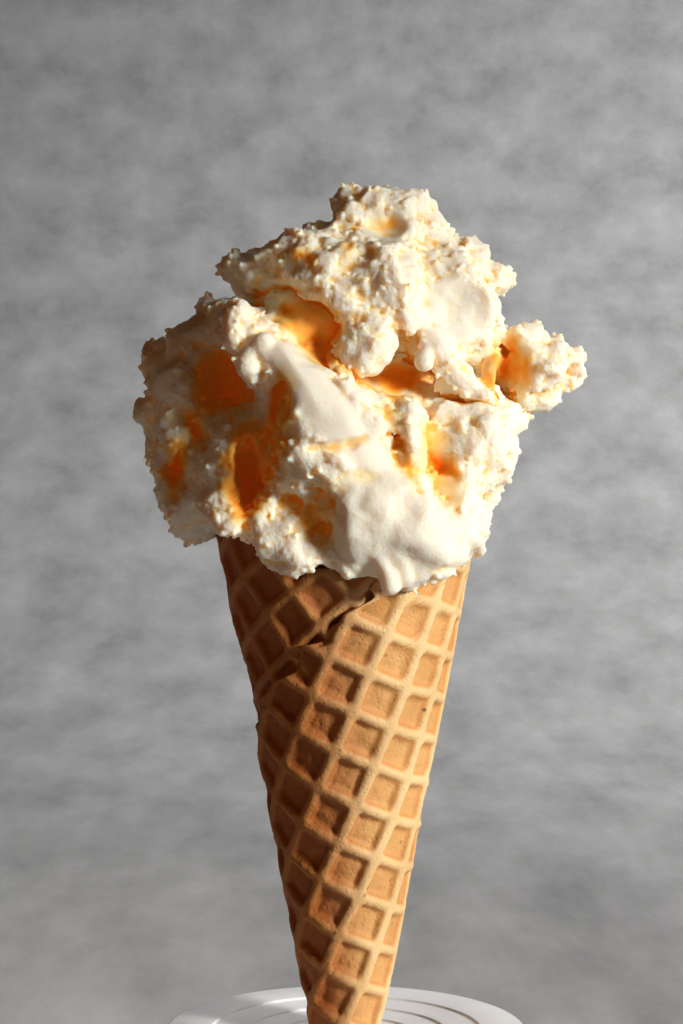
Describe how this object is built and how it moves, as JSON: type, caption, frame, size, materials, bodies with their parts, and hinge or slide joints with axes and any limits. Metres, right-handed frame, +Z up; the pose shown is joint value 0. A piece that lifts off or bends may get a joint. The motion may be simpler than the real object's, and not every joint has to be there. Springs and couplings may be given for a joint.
{
  "type": "ice cream cone",
  "caption": "Rolled waffle cone filled with rough, crumbly scoops of vanilla ice cream, standing upright in a small round stepped holder.",
  "frame": {"origin": "centre of the holder's flat underside, on the cone's axis", "axes": "+Z up along the cone's axis from its tip to the ice cream; -Y towards the side where the wafer's free edge climbs over the front; +X to the right of that side"},
  "size_m": [0.1045, 0.0856, 0.2398],
  "materials": {
    "holder_paint": "matte",
    "wafer": "matte",
    "ice_cream": "satin"
  },
  "bodies": {
    "root": {"holder": "holder_paint", "cone": "wafer", "lower_scoop": "ice_cream", "upper_scoop": "ice_cream"}
  },
  "joints": []
}
